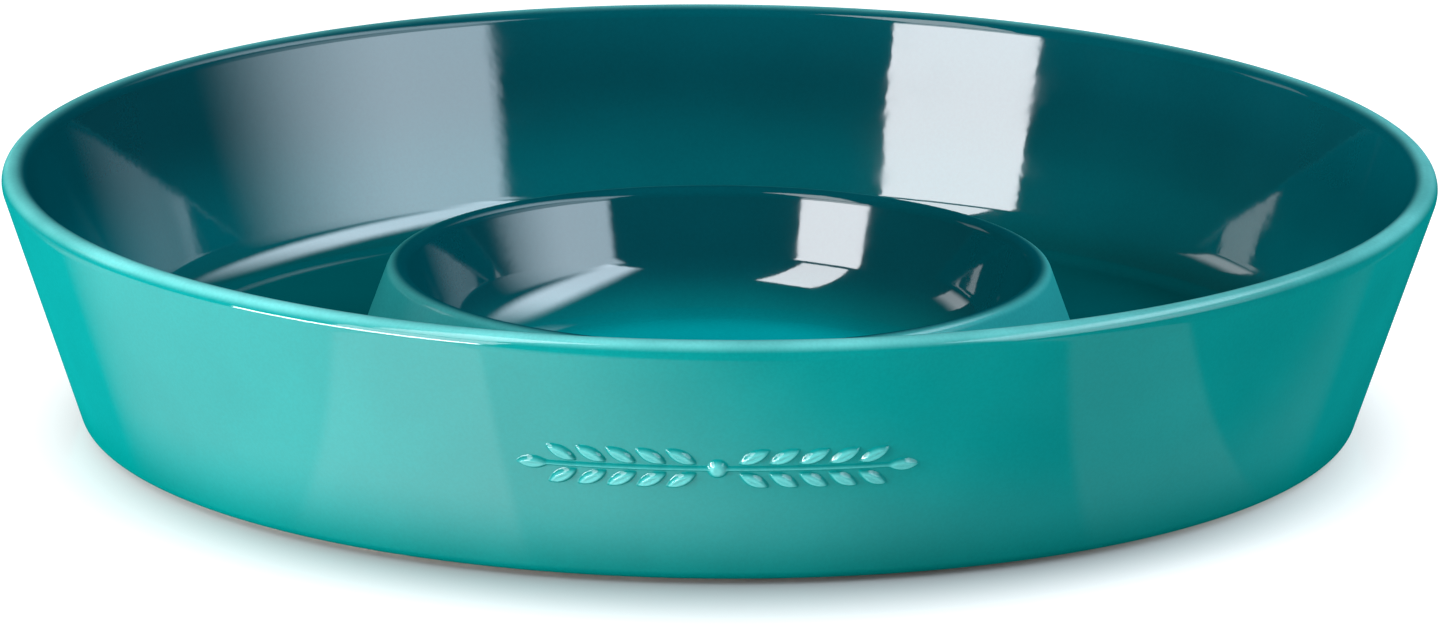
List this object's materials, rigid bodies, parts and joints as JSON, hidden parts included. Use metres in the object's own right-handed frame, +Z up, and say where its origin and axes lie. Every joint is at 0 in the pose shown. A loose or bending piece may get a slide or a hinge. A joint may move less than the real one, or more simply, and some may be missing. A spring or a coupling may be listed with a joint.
{
  "type": "chip and dip server",
  "caption": "Round glazed stoneware dish with a leaning wall and a dip bowl moulded into the middle of its floor, so that a ring-shaped channel holds chips around the dip.",
  "frame": {"origin": "on the table, at the centre of the foot ring", "axes": "+Z up out of the dish; the leaf garland on the outer wall faces -Y; +X to the right when the garland faces the viewer"},
  "size_m": [0.305, 0.305, 0.055],
  "materials": {
    "bare_stoneware": "unglazed, fine and dry, pale buff",
    "turquoise_glaze": "glossy turquoise, paler where it breaks over edges",
    "teal_glaze": "glossy deep teal, pooled a little thicker"
  },
  "bodies": {
    "root": {"stoneware_body": "bare_stoneware", "leaf_garland": "turquoise_glaze", "exterior_glaze": "turquoise_glaze", "channel_glaze": "teal_glaze", "dip_bowl_rim_glaze": "turquoise_glaze", "dip_bowl_inner_glaze": "teal_glaze", "underside_glaze": "teal_glaze"}
  },
  "joints": []
}
